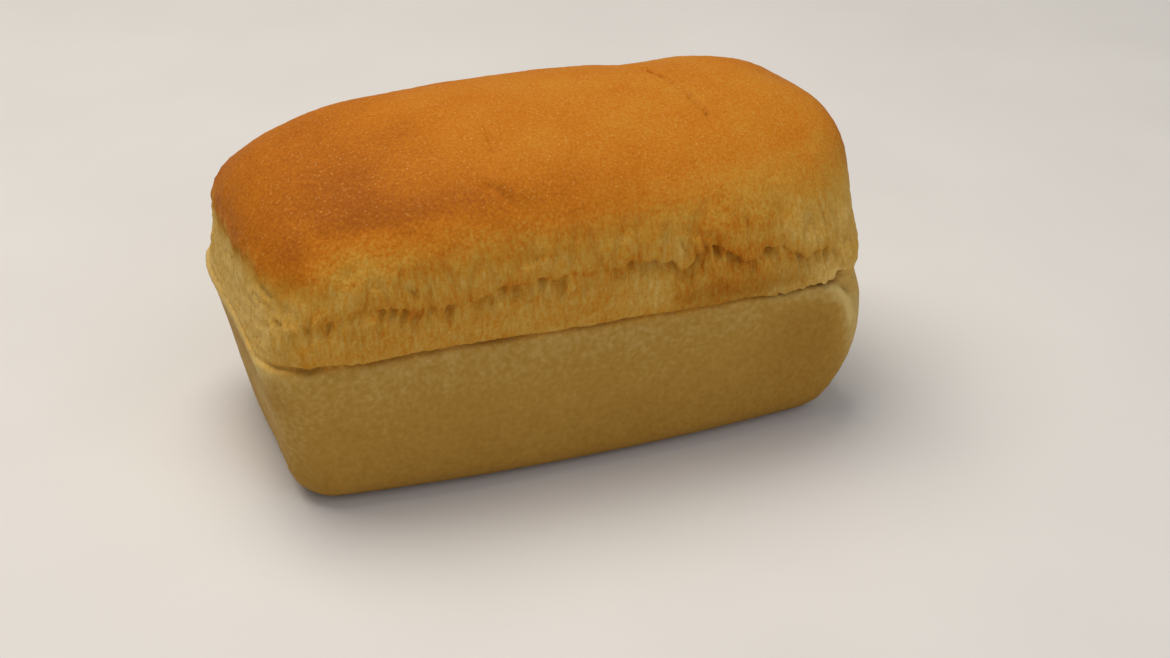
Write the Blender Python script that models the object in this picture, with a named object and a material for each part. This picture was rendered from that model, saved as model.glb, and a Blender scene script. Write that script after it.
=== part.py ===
# A whole pan loaf, uncut: the lower part has the form of its baking pan, and the crown has
# risen above the pan's rim, with a crease at the rim and a torn band along the front.
# +X runs along the loaf, -Y is the front, +Z is up. The loaf stands on its flat base at z = 0.
import math

import bmesh
import bpy
import numpy as np
from mathutils import Vector, noise

MM = 0.001
TINY = 1e-6

# Driving sizes, in millimetres
RIM_LENGTH = 216.0
RIM_WIDTH = 114.0
RIM_HEIGHT = 58.0
LOAF_HEIGHT = 118.7
SHOULDER_HEIGHT = 101.0
PAN_CORNER_RADIUS = 16.0
LEAST_CORNER_RADIUS = 5.0

# Each side: how far its rim is drawn in, how far the pan narrows to its base and bellies
# half way up, and the width and height of its round edge above the base. Then how far the
# crown hangs over the rim, the height where it is widest, and the power of its curve, where
# 2 is an ellipse and more is squarer. The right end has sagged out below its rim.
SIDES = {
    "right": {
        "drawn_in": 2.0, "taper": -3.0, "belly": 2.0, "edge": (25.0, 34.0),
        "overhang": 2.2, "widest": 93.0, "power": 3.1,
    },
    "left": {
        "drawn_in": 0.0, "taper": 11.8, "belly": 0.0, "edge": (12.0, 12.0),
        "overhang": -1.4, "widest": 84.5, "power": 2.45,
    },
    "front": {
        "drawn_in": 0.0, "taper": 9.0, "belly": 0.0, "edge": (14.0, 11.0),
        "overhang": 5.0, "widest": 84.5, "power": 2.1,
    },
    "back": {
        "drawn_in": 0.0, "taper": 9.0, "belly": 0.0, "edge": (12.0, 11.0),
        "overhang": -1.1, "widest": 84.5, "power": 2.17,
    },
}
# The long walls of the pan part bow out by this much at the base, half way along.
WALL_BOW = 6.3

# The crown's plan is a superellipse, squarer at the rim than at the top.
RIM_SQUARENESS = 6.5
TOP_SQUARENESS = 2.5
# The pan's plan turns into the crown's between these heights.
PLAN_BLEND_LOW = 51.0
PLAN_BLEND_HIGH = 61.0

# The torn line along the front, as points (x, z), and the heights that it bends the rows between
TEAR_LINE = (
    (-98.0, 72.0), (-72.0, 79.0), (-44.0, 76.0), (-14.0, 81.0), (17.0, 82.0), (27.0, 79.0),
    (33.0, 75.0), (41.0, 83.5), (54.0, 75.5), (68.0, 78.0), (78.0, 71.5), (84.0, 73.0), (94.0, 70.0),
)
TEAR_HEIGHT = 77.0
TEAR_BEND_TOP = 98.0
TEAR_BEND_SIDE = 0.75
TEAR_DEPTH = 1.6
TEAR_LIP = 1.0
TEAR_WIDTH = 1.5
LIP_REACH = 8.0

# The crease at the rim: its depth on each side and its half width
CREASE_DEPTH = {"right": 0.2, "left": 0.7, "front": 2.2, "back": 1.2}
CREASE_WIDTH = 1.3
LEFT_RIDGE = 0.5
LEFT_RIDGE_DROP = 0.5
LEFT_RIDGE_WIDTH = 2.5

# Upright folds in the torn band, and the slow unevenness of the whole loaf
FOLD_DEPTH = {"right": 0.3, "left": 0.2, "front": 0.7, "back": 0.4}
FOLD_SPACING = 11.0
FOLD_LENGTH = 45.0
FOLD_FADE = 6.0
FOLD_TOP = (84.5, 101.0)
FOLD_SEED = 3.7
LUMP_DEPTH = 0.7
LUMP_SPACING = 48.0
STILL_HEIGHT = 14.0

# A surface belongs wholly to a side where its normal reaches the second of these, and not at
# all below the first. The same holds for the top.
SIDE_FACING = (0.35, 0.8)
TOP_FACING = (0.3, 0.7)

# Creases across the top, each from one (x, y) to another, with depth, half width and
# the rise of the crown on its +X side
TOP_CREASES = (
    {"start": (46.0, 26.0), "end": (53.5, -33.0), "depth": 1.2, "width": 2.2, "rise": 1.9},
    {"start": (-21.0, -17.0), "end": (-23.0, -38.0), "depth": 0.5, "width": 3.0, "rise": 0.3},
    {"start": (-30.0, -43.0), "end": (-22.0, -54.0), "depth": 0.6, "width": 3.0, "rise": 0.2},
)
CREASE_RISE_REACH = 16.0
# A crease fades in and out between these shares of its length.
CREASE_FADE_IN = (-0.15, 0.25)
CREASE_FADE_OUT = (0.75, 1.15)

# Dents and swellings, each at a point (x, y, z), with its height out of the surface and radius
SWELLINGS = (
    {"at": (70.0, 14.0, 117.0), "height": 1.9, "radius": 20.0},
    {"at": (45.0, 30.0, 114.0), "height": -1.4, "radius": 12.0},
    {"at": (99.0, 13.0, 108.0), "height": -2.6, "radius": 11.0},
    {"at": (106.0, -25.0, 92.0), "height": 1.5, "radius": 16.0},
    {"at": (96.0, -52.0, 60.5), "height": -2.2, "radius": 5.0},
    {"at": (104.0, -45.0, 54.0), "height": -1.5, "radius": 8.0},
    {"at": (104.0, -45.0, 62.0), "height": 2.4, "radius": 4.0},
    {"at": (-104.0, 40.0, 64.0), "height": -1.2, "radius": 8.0},
    {"at": (-54.0, -38.0, 106.0), "height": -0.8, "radius": 20.0},
    {"at": (-62.0, 25.0, 110.0), "height": 1.4, "radius": 17.0},
    {"at": (-86.0, 6.0, 99.0), "height": 1.6, "radius": 14.0},
    {"at": (33.0, -62.0, 74.5), "height": -1.6, "radius": 4.5},
    {"at": (78.0, -57.0, 71.0), "height": -1.6, "radius": 4.5},
)

# Grid of the surface: columns along the loaf and across it, and rows in each stretch of height
COLUMNS_ALONG = 52
COLUMNS_ACROSS = 26
ROW_STRETCHES = (
    (0.0, RIM_HEIGHT, 9),
    (RIM_HEIGHT, TEAR_HEIGHT, 7),
    (TEAR_HEIGHT, SHOULDER_HEIGHT, 6),
)
ROW_CROWDING = 0.75
CREASE_COLUMN = 50.0
CREASE_COLUMN_REACH = 9.0
CREASE_COLUMN_CROWDING = 1.2
COLUMN_SAMPLES = 2001
SOLVE_STEPS = 40
BASE_TOLERANCE = 0.001

CRUST_COLOUR = (0.57, 0.24, 0.045, 1.0)
CRUST_ROUGHNESS = 0.55


def smooth_step(low, high, value):
    t = np.clip((value - low) / (high - low), 0.0, 1.0)
    return t * t * (3.0 - 2.0 * t)


def reach(side, z):
    """Distance from the loaf's middle to one side's surface, at height z."""
    size = SIDES[side]
    length_wise = side in ("right", "left")
    rim = (RIM_LENGTH if length_wise else RIM_WIDTH) / 2 - size["drawn_in"]
    up = np.clip(z / RIM_HEIGHT, 0, 1)
    pan = rim - size["taper"] * (1 - up) + size["belly"] * 4 * up * (1 - up)
    pan = pan - edge_inset(*size["edge"], z)
    lobe = rim + size["overhang"]
    widest = size["widest"]
    below = np.clip((widest - z) / (widest - RIM_HEIGHT), 0, 1)
    neck = rim + size["overhang"] * np.sqrt(1 - below**2)
    above = np.clip((z - widest) / (LOAF_HEIGHT - widest), 0, 1)
    crown = lobe * (1 - above ** size["power"]) ** (1 / size["power"])
    return np.where(z < RIM_HEIGHT, pan, np.where(z < widest, neck, crown))


def edge_inset(width, height, z):
    """How far the round edge above the base pulls a side in, at height z."""
    down = 1 - np.clip(z / height, 0, 1)
    return width * (1 - np.sqrt(1 - down**2))


def half_sizes(x, y, z):
    length = np.where(x > 0, reach("right", z), reach("left", z))
    width = np.where(y > 0, reach("back", z), reach("front", z))
    return length, width


def squareness(z):
    rise = np.clip((z - RIM_HEIGHT) / (LOAF_HEIGHT - RIM_HEIGHT), 0, 1)
    return TOP_SQUARENESS + (RIM_SQUARENESS - TOP_SQUARENESS) * (1 - rise) ** 2


def side_point(u, v, z):
    """The point of the outline at height z that a point (u, v) of the unit square's edge gives."""
    length, width = half_sizes(u, v, z)
    width = width + WALL_BOW * (1 - u**2) * np.clip(1 - z / RIM_HEIGHT, 0, 1)
    radius = PAN_CORNER_RADIUS - edge_inset(PAN_CORNER_RADIUS, PAN_CORNER_RADIUS, z)
    radius = np.maximum(radius, LEAST_CORNER_RADIUS)
    inner_x = np.clip(u * length, -(length - radius), length - radius)
    inner_y = np.clip(v * width, -(width - radius), width - radius)
    out_x = u * length - inner_x
    out_y = v * width - inner_y
    out = np.hypot(out_x, out_y)
    pan_x = inner_x + radius * out_x / out
    pan_y = inner_y + radius * out_y / out
    power = squareness(z)
    scale = (np.abs(u) ** power + np.abs(v) ** power) ** (-1 / power)
    blend = smooth_step(PLAN_BLEND_LOW, PLAN_BLEND_HIGH, z)
    x = pan_x * (1 - blend) + u * length * scale * blend
    y = pan_y * (1 - blend) + v * width * scale * blend
    return x, y


def crown_height(x, y):
    """Height of the crown over a point inside the shoulder's outline, found by halving."""
    low = np.full_like(x, SHOULDER_HEIGHT)
    high = np.full_like(x, LOAF_HEIGHT)
    for _ in range(SOLVE_STEPS):
        middle = (low + high) / 2
        length, width = half_sizes(x, y, middle)
        power = squareness(middle)
        inside = np.abs(x / length) ** power + np.abs(y / width) ** power < 1
        low = np.where(inside, middle, low)
        high = np.where(inside, high, middle)
    return low


def grid_rows():
    """Heights of the rows, from 0 to 1 of the grid, crowded where each stretch meets the next."""
    rows = [0.0]
    for start, end, count in ROW_STRETCHES:
        t = np.arange(1, count + 1) / count
        eased = t - ROW_CROWDING * np.sin(2 * math.pi * t) / (2 * math.pi)
        rows.extend(start + (end - start) * eased)
    return np.array(rows)


def grid_columns():
    """Places of the columns along the loaf, from -1 to 1, closer round the crease on the top."""
    fine = np.linspace(-1, 1, COLUMN_SAMPLES)
    away = (fine * RIM_LENGTH / 2 - CREASE_COLUMN) / CREASE_COLUMN_REACH
    density = 1 + CREASE_COLUMN_CROWDING * np.exp(-(away**2))
    total = np.cumsum(density)
    share = (total - total[0]) / (total[-1] - total[0])
    return np.interp(np.linspace(0, 1, COLUMNS_ALONG + 1), share, fine)


def tear_height(x):
    points = np.array(TEAR_LINE)
    return np.interp(x, points[:, 0], points[:, 1])


def bent_rows(u, v, z):
    """Rows on the front follow the torn line, so that it lies along the grid."""
    bend_up = np.clip((z - RIM_HEIGHT) / (TEAR_HEIGHT - RIM_HEIGHT), 0, 1)
    bend_down = np.clip((TEAR_BEND_TOP - z) / (TEAR_BEND_TOP - TEAR_HEIGHT), 0, 1)
    front = smooth_step(TEAR_BEND_SIDE, 1.0, -v)
    shift = tear_height(u * RIM_LENGTH / 2) - TEAR_HEIGHT
    return z + shift * np.minimum(bend_up, bend_down) * front


def bell(distance, width):
    return math.exp(-((distance / width) ** 2))


def side_weights(normal):
    """How much a surface faces each side, 0 to 1."""
    facing = {"right": normal.x, "left": -normal.x, "front": -normal.y, "back": normal.y}
    return {side: float(smooth_step(*SIDE_FACING, amount)) for side, amount in facing.items()}


def tear_relief(point):
    """The crust's lower lip on the front, and the groove under it."""
    above = point.z - float(tear_height(point.x))
    lip = TEAR_LIP * math.exp(-above / LIP_REACH) if above > 0 else 0.0
    groove = -TEAR_DEPTH * bell(above + TEAR_WIDTH / 2, TEAR_WIDTH)
    return lip + groove


def fold_relief(point, depth):
    """Upright folds, strongest between the rim and the shoulder."""
    along = point.x if abs(point.x) / RIM_LENGTH < abs(point.y) / RIM_WIDTH else point.y
    height = smooth_step(RIM_HEIGHT, RIM_HEIGHT + FOLD_FADE, point.z)
    height *= 1 - smooth_step(*FOLD_TOP, point.z)
    ripple = 2 * noise.noise(Vector((along / FOLD_SPACING, point.z / FOLD_LENGTH, FOLD_SEED)))
    return float(height) * depth * ripple


def rim_relief(point, weights):
    """The crease where the crown meets the pan's rim, and the ridge under it at the left end."""
    above = point.z - RIM_HEIGHT
    crease = sum(weights[side] * CREASE_DEPTH[side] for side in SIDES)
    ridge = weights["left"] * LEFT_RIDGE * bell(above + LEFT_RIDGE_DROP, LEFT_RIDGE_WIDTH)
    return ridge - crease * bell(above, CREASE_WIDTH)


def top_relief(point):
    """Creases across the top, each with a slow rise beside it."""
    total = 0.0
    for crease in TOP_CREASES:
        start = Vector(crease["start"])
        run = Vector(crease["end"]) - start
        offset = Vector((point.x, point.y)) - start
        along = offset.dot(run) / run.length_squared
        beside = run.cross(offset) / run.length
        fade = smooth_step(*CREASE_FADE_IN, along) * (1 - smooth_step(*CREASE_FADE_OUT, along))
        rise = crease["rise"] * math.exp(-beside / CREASE_RISE_REACH) if beside > 0 else 0.0
        total += float(fade) * (rise - crease["depth"] * bell(beside, crease["width"]))
    return total


def relief(point, normal):
    """Height of the surface above the plain form at a point, in millimetres."""
    weights = side_weights(normal)
    still = float(smooth_step(0, STILL_HEIGHT, point.z))
    lump = LUMP_DEPTH * 2 * noise.noise(point / LUMP_SPACING)
    depth = sum(weights[side] * FOLD_DEPTH[side] for side in SIDES)
    swell = sum(s["height"] * bell((point - Vector(s["at"])).length, s["radius"]) for s in SWELLINGS)
    total = lump + fold_relief(point, depth) + rim_relief(point, weights) + swell
    total += weights["front"] * tear_relief(point)
    total += float(smooth_step(*TOP_FACING, normal.z)) * top_relief(point)
    return still * total


def gridded_box():
    """A cube of side 2 cut into the loaf's columns and rows."""
    bm = bmesh.new()
    bmesh.ops.create_cube(bm, size=2)
    row_count = sum(count for _, _, count in ROW_STRETCHES)
    for axis, count in enumerate((COLUMNS_ALONG, COLUMNS_ACROSS, row_count)):
        edges = [e for e in bm.edges if abs((e.verts[0].co - e.verts[1].co)[axis]) > TINY]
        bmesh.ops.subdivide_edges(bm, edges=edges, cuts=count - 1, use_grid_fill=True)
    return bm


def shape_loaf(bm):
    """Moves the box's points on to the loaf's plain form."""
    verts = list(bm.verts)
    cube = np.array([v.co for v in verts], dtype=float)
    u = np.interp(cube[:, 0], np.linspace(-1, 1, COLUMNS_ALONG + 1), grid_columns())
    v = cube[:, 1]
    rows = grid_rows()
    z = np.interp(cube[:, 2], np.linspace(-1, 1, len(rows)), rows)
    ring = np.maximum(np.abs(u), np.abs(v))
    safe = np.maximum(ring, TINY)
    edge_u = np.where(ring > 0, u / safe, 1.0)
    edge_v = np.where(ring > 0, v / safe, 0.0)
    on_side = ring > 1 - TINY
    z = np.where(on_side, bent_rows(edge_u, edge_v, z), z)
    x, y = side_point(edge_u, edge_v, z)
    x = x * ring
    y = y * ring
    on_crown = (cube[:, 2] > 1 - TINY) & ~on_side
    z[on_crown] = crown_height(x[on_crown], y[on_crown])
    for vert, place in zip(verts, np.column_stack((x, y, z))):
        vert.co = Vector(place)


def add_relief(bm):
    bm.normal_update()
    moves = [(vert, vert.normal * relief(vert.co, vert.normal)) for vert in bm.verts]
    for vert, move in moves:
        vert.co += move


def flatten_base(bm):
    """Makes the base one flat face at z = 0."""
    base = [f for f in bm.faces if all(v.co.z < BASE_TOLERANCE for v in f.verts)]
    for vert in {v for f in base for v in f.verts}:
        vert.co.z = 0.0
    bmesh.ops.dissolve_faces(bm, faces=base, use_verts=True)


def centre_loaf(bm):
    """Puts the middle of the loaf's outline over the origin."""
    points = np.array([v.co for v in bm.verts])
    middle = (points.min(axis=0) + points.max(axis=0)) / 2
    bmesh.ops.translate(bm, verts=bm.verts, vec=(-middle[0], -middle[1], 0))


def crust_material():
    material = bpy.data.materials.new("crust")
    material.use_nodes = True
    shader = material.node_tree.nodes["Principled BSDF"]
    shader.inputs["Base Color"].default_value = CRUST_COLOUR
    shader.inputs["Roughness"].default_value = CRUST_ROUGHNESS
    shader.inputs["Metallic"].default_value = 0.0
    return material


def make_loaf():
    bm = gridded_box()
    shape_loaf(bm)
    add_relief(bm)
    flatten_base(bm)
    centre_loaf(bm)
    bmesh.ops.scale(bm, verts=bm.verts, vec=(MM, MM, MM))
    bmesh.ops.recalc_face_normals(bm, faces=bm.faces)
    mesh = bpy.data.meshes.new("loaf")
    bm.to_mesh(mesh)
    bm.free()
    mesh.shade_smooth()
    mesh.materials.append(crust_material())
    loaf = bpy.data.objects.new("loaf", mesh)
    bpy.context.scene.collection.objects.link(loaf)
    return loaf


def clear_scene():
    for old in list(bpy.data.objects):
        bpy.data.objects.remove(old)


clear_scene()
make_loaf()
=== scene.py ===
import math

import bmesh
import bpy
import numpy as np
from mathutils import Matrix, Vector, noise


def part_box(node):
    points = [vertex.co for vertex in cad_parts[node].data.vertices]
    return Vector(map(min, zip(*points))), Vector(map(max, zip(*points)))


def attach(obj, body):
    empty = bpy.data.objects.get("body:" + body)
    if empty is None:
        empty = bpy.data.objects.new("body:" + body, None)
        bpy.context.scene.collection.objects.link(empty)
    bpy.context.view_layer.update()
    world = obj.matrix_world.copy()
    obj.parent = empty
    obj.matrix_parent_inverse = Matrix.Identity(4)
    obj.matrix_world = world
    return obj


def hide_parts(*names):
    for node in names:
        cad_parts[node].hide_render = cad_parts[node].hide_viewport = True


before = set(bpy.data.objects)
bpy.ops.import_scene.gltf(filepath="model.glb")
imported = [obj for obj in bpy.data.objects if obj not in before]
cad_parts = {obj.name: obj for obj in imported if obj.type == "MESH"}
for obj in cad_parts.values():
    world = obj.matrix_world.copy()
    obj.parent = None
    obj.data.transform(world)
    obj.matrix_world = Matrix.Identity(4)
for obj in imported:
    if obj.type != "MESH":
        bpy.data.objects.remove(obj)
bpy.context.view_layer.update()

mm = 0.001
tiny = 1e-6
nearEdge = 1e-5  # closer than this counts as on an edge


def smoothStep(low, high, value):
    t = np.clip((value - low) / (high - low), 0.0, 1.0)
    return t * t * (3.0 - 2.0 * t)


def bell(distance, width):
    return np.exp(-((distance / width) ** 2))


def arch(share):
    # From 0 at both ends to 1 in the middle
    return 4 * share * (1 - share)


def grain(points, spacing, seed):
    # Smooth noise from -1 to 1, with its own spacing along x, y and z
    scaled = points / np.array(spacing) + seed
    return np.array([noise.noise(p) for p in scaled.tolist()])


def layered(points, *layers):
    # A sum of such noises, each with its height, spacing and seed
    return sum(height * grain(points, spacing, seed) for height, spacing, seed in layers)


# Form of the loaf, all in millimetres: the pan part below the rim and the crown above it
loafForm = {
    "rimLength": 216.0,
    "rimWidth": 114.0,
    "rimHeight": 58.0,
    "height": 118.7,
    "shoulderHeight": 101.0,
    "panCornerRadius": 16.0,
    "leastCornerRadius": 5.0,
    "wallBow": 6.3,  # how far the long walls bow out at the base
    "rimSquareness": 6.5,  # powers of the crown's plan, a superellipse
    "topSquareness": 2.5,
    "planBlend": (51.0, 61.0),  # the pan's plan turns into the crown's between these heights
    # taper, belly and edge (width, height) of the pan part; overhang and curve of the crown
    "sides": {
        "right": {"drawnIn": 2.0, "taper": -3.0, "belly": 2.0, "edge": (25.0, 34.0),
                  "overhang": 2.2, "widest": 93.0, "power": 3.1},
        "left": {"drawnIn": 0.0, "taper": 11.8, "belly": 0.0, "edge": (12.0, 12.0),
                 "overhang": -1.4, "widest": 84.5, "power": 2.45},
        "front": {"drawnIn": 0.0, "taper": 9.0, "belly": 0.0, "edge": (14.0, 11.0),
                  "overhang": 5.0, "widest": 84.5, "power": 2.1},
        "back": {"drawnIn": 0.0, "taper": 9.0, "belly": 0.0, "edge": (12.0, 11.0),
                 "overhang": -1.1, "widest": 84.5, "power": 2.17},
    },
}

# Cells of the surface: columns along and across, and rows in each stretch of height
loafGrid = {
    "along": 340,
    "across": 88,
    "stretches": ((0.0, 48.0, 13), (48.0, 58.0, 13), (58.0, 77.0, 28), (77.0, 101.0, 22)),
    "crowding": 0.6,
    "creaseColumn": 50.0,  # the columns stand closer round the crease on the top
    "creaseReach": 8.0,
    "creaseCrowding": 0.8,
    "fineSteps": 4001,  # for working out the places of the columns
    "solveSteps": 40,
    "baseRing": 1.5,  # width of the ring of faces round the base
}


def edgeInset(width, height, z):
    # How far the round edge above the base pulls a side in
    down = 1 - np.clip(z / height, 0, 1)
    return width * (1 - np.sqrt(1 - down**2))


def reach(side, z):
    # Distance from the middle of the loaf to one side, at height z
    size = loafForm["sides"][side]
    rimHeight = loafForm["rimHeight"]
    fullSize = loafForm["rimLength"] if side in ("right", "left") else loafForm["rimWidth"]
    rim = fullSize / 2 - size["drawnIn"]
    up = np.clip(z / rimHeight, 0, 1)
    pan = rim - size["taper"] * (1 - up) + size["belly"] * arch(up) - edgeInset(*size["edge"], z)
    widest = size["widest"]
    below = np.clip((widest - z) / (widest - rimHeight), 0, 1)
    neck = rim + size["overhang"] * np.sqrt(1 - below**2)
    above = np.clip((z - widest) / (loafForm["height"] - widest), 0, 1)
    crown = (rim + size["overhang"]) * (1 - above ** size["power"]) ** (1 / size["power"])
    return np.where(z < rimHeight, pan, np.where(z < widest, neck, crown))


def halfSizes(x, y, z):
    length = np.where(x > 0, reach("right", z), reach("left", z))
    width = np.where(y > 0, reach("back", z), reach("front", z))
    return length, width


def squareness(z):
    rise = np.clip((z - loafForm["rimHeight"]) / (loafForm["height"] - loafForm["rimHeight"]), 0, 1)
    top = loafForm["topSquareness"]
    return top + (loafForm["rimSquareness"] - top) * (1 - rise) ** 2


def sidePoint(u, v, z):
    # The outline at height z: a rounded rectangle in the pan, a superellipse in the crown
    length, width = halfSizes(u, v, z)
    width = width + loafForm["wallBow"] * (1 - u**2) * np.clip(1 - z / loafForm["rimHeight"], 0, 1)
    corner = loafForm["panCornerRadius"]
    radius = np.maximum(corner - edgeInset(corner, corner, z), loafForm["leastCornerRadius"])
    innerX = np.clip(u * length, -(length - radius), length - radius)
    innerY = np.clip(v * width, -(width - radius), width - radius)
    outX = u * length - innerX
    outY = v * width - innerY
    out = np.hypot(outX, outY)
    power = squareness(z)
    scale = (np.abs(u) ** power + np.abs(v) ** power) ** (-1 / power)
    blend = smoothStep(*loafForm["planBlend"], z)
    x = (innerX + radius * outX / out) * (1 - blend) + u * length * scale * blend
    y = (innerY + radius * outY / out) * (1 - blend) + v * width * scale * blend
    return x, y


def crownHeight(x, y):
    # Height of the crown over a point, found by halving
    low = np.full_like(x, loafForm["shoulderHeight"])
    high = np.full_like(x, loafForm["height"])
    for _ in range(loafGrid["solveSteps"]):
        middle = (low + high) / 2
        length, width = halfSizes(x, y, middle)
        power = squareness(middle)
        inside = np.abs(x / length) ** power + np.abs(y / width) ** power < 1
        low = np.where(inside, middle, low)
        high = np.where(inside, high, middle)
    return low


def gridRows():
    rows = [0.0]
    for start, end, count in loafGrid["stretches"]:
        t = np.arange(1, count + 1) / count
        eased = t - loafGrid["crowding"] * np.sin(2 * math.pi * t) / (2 * math.pi)
        rows.extend(start + (end - start) * eased)
    return np.array(rows)


def gridColumns():
    # Places of the columns from -1 to 1
    fine = np.linspace(-1, 1, loafGrid["fineSteps"])
    away = fine * loafForm["rimLength"] / 2 - loafGrid["creaseColumn"]
    total = np.cumsum(1 + loafGrid["creaseCrowding"] * bell(away, loafGrid["creaseReach"]))
    share = (total - total[0]) / (total[-1] - total[0])
    return np.interp(np.linspace(0, 1, loafGrid["along"] + 1), share, fine)


def along(points, x):
    table = np.array(points)
    return np.interp(x, table[:, 0], table[:, 1])


def wandering(x, *layers):
    # A sum of noises along a line, each with its height, spacing and seed
    flat = np.column_stack((x, np.zeros_like(x), np.zeros_like(x)))
    return sum(height * grain(flat, (spacing, 1, 1), seed) for height, spacing, seed in layers)


# The torn line on the front: points (x, z), and how strongly the lip stands there
tearLine = {
    "points": (
        (-98.0, 72.0), (-84.0, 75.5), (-72.0, 79.0), (-58.0, 76.5), (-44.0, 76.0), (-30.0, 79.5),
        (-14.0, 81.0), (4.0, 80.0), (17.0, 82.0), (21.0, 81.0), (28.0, 79.0), (33.0, 74.8),
        (36.5, 79.6), (40.0, 83.5), (44.0, 83.0), (49.0, 79.0), (54.0, 75.3), (59.0, 77.3),
        (69.0, 77.6), (74.5, 74.4), (78.0, 71.2), (82.0, 72.5), (86.0, 72.7), (94.0, 70.5),
    ),
    "strength": (
        (-98.0, 0.3), (-70.0, 0.8), (-52.0, 0.5), (-30.0, 0.9), (0.0, 0.5), (18.0, 0.8), (32.0, 1.3),
        (37.0, 0.6), (45.0, 1.0), (54.0, 1.2), (58.0, 0.6), (66.0, 1.0), (78.0, 1.3), (86.0, 0.9),
        (94.0, 0.0),
    ),
    "height": 77.0,
    "bendTop": 98.0,
    "bendSide": 0.75,
    "lip": 1.2,
    "lipReach": 2.4,
    "droop": 1.0,
    "droopWidth": 1.4,
    "groove": 1.25,
    "grooveWidth": 2.1,
    # Strands bridge the groove here and there: its usual share, its limits, and the noise of it
    "grooveShare": 0.95,
    "grooveLimits": (0.5, 1.5),
    "strands": ((0.45, 6.0, 3.3), (0.4, 2.4, 9.3)),
    "roll": 0.8,  # the torn band swells out again under the groove
    "rollDrop": 8.0,
    "rollWidth": 5.0,
    "jitter": ((1.5, 2.6, 0.37), (0.75, 2.6 / 2.3, 5.37)),
    "deepest": 2.4,  # folds that meet are held above this depth
}


def tearHeight(x):
    return along(tearLine["points"], x) + wandering(x, *tearLine["jitter"])


def bentRows(u, v, z):
    # Rows on the front follow the torn line
    rim, middle, top = loafForm["rimHeight"], tearLine["height"], tearLine["bendTop"]
    bend = np.clip(np.minimum((z - rim) / (middle - rim), (top - z) / (top - middle)), 0, 1)
    front = smoothStep(tearLine["bendSide"], 1.0, -v)
    shift = tearHeight(u * loafForm["rimLength"] / 2) - middle
    return z + shift * bend * front


def gridBox():
    # A cube cut into the loaf's columns and rows
    bm = bmesh.new()
    bmesh.ops.create_cube(bm, size=2)
    rows = sum(count for _, _, count in loafGrid["stretches"])
    for axis, count in enumerate((loafGrid["along"], loafGrid["across"], rows)):
        edges = [e for e in bm.edges if abs((e.verts[0].co - e.verts[1].co)[axis]) > tiny]
        bmesh.ops.subdivide_edges(bm, edges=edges, cuts=count - 1, use_grid_fill=True)
    return bm


def readPoints(bm):
    return np.array([v.co for v in bm.verts], dtype=float)


def movePoints(bm, points):
    for vert, place in zip(bm.verts, points.tolist()):
        vert.co = place


def shapePlainLoaf(bm):
    cube = readPoints(bm)
    columns = gridColumns()
    u = np.interp(cube[:, 0], np.linspace(-1, 1, len(columns)), columns)
    v = cube[:, 1]
    rows = gridRows()
    z = np.interp(cube[:, 2], np.linspace(-1, 1, len(rows)), rows)
    ring = np.maximum(np.abs(u), np.abs(v))
    safe = np.maximum(ring, tiny)
    edgeU = np.where(ring > tiny, u / safe, 1.0)
    edgeV = np.where(ring > tiny, v / safe, 0.0)
    onSide = ring > 1 - nearEdge
    z = np.where(onSide, bentRows(edgeU, edgeV, z), z)
    x, y = sidePoint(edgeU, edgeV, z)
    x = x * ring
    y = y * ring
    onCrown = (cube[:, 2] > 1 - nearEdge) & ~onSide
    z[onCrown] = crownHeight(x[onCrown], y[onCrown])
    movePoints(bm, np.column_stack((x, y, z)))


def sideWeights(normals):
    low, high = fineRelief["sideFacing"]
    x, y = normals[:, 0], normals[:, 1]
    facing = {"right": x, "left": -x, "front": -y, "back": y}
    return {side: smoothStep(low, high, amount) for side, amount in facing.items()}


def bySide(weights, values):
    return sum(weights[side] * values[side] for side in values)


# Upright pleats under the tear, and creases above it along the lines where a noise passes zero
puckers = {
    "pleat": {"spacing": (2.6, 2.6, 9.0), "seed": 12.1, "depth": 2.3, "reach": (-8.0, 0.6)},
    "wrinkle": {"spacing": (8.0, 8.0, 22.0), "seed": 21.4, "depth": 1.1, "reach": (-1.0, 14.0),
                "line": 0.13},
    "fade": 3.0,
    "lean": 0.35,  # the fibres below the tear lean over on the left
    "leanSpan": (62.0, 30.0),
}


def leaning(points):
    # Sheared sideways below the tear, so that the fibres there lean
    lean = puckers["lean"] * smoothStep(*puckers["leanSpan"], points[:, 0])
    sheared = points.copy()
    sheared[:, 0] -= lean * np.minimum(points[:, 2] - tearLine["height"], 0)
    return sheared


def puckerRelief(sheared, aboveTear):
    total = np.zeros(len(sheared))
    fade = puckers["fade"]
    for name in ("pleat", "wrinkle"):
        pucker = puckers[name]
        waves = grain(sheared, pucker["spacing"], pucker["seed"])
        if "line" in pucker:
            waves = -bell(waves, pucker["line"])
        low, high = pucker["reach"]
        where = smoothStep(low - fade, low + fade, aboveTear)
        where = where * (1 - smoothStep(high - fade / 2, high + fade / 2, aboveTear))
        total += pucker["depth"] * waves * where
    return total


def tearRelief(points, aboveTear):
    # The crust's lower lip, the groove under it, and the roll below; then how far the lip droops
    strength = along(tearLine["strength"], points[:, 0])
    up = np.clip(aboveTear, 0, None) / tearLine["lipReach"]
    lip = tearLine["lip"] * up * np.exp(1 - up)
    share = tearLine["grooveShare"] + wandering(points[:, 0], *tearLine["strands"])
    share = np.clip(share, *tearLine["grooveLimits"])
    groove = bell(aboveTear + tearLine["grooveWidth"], tearLine["grooveWidth"])
    groove = -tearLine["groove"] * share * groove
    roll = tearLine["roll"] * bell(aboveTear + tearLine["rollDrop"], tearLine["rollWidth"])
    droop = tearLine["droop"] * bell(aboveTear - tearLine["droopWidth"], tearLine["droopWidth"])
    return strength * (lip + groove) + roll, strength * droop


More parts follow.
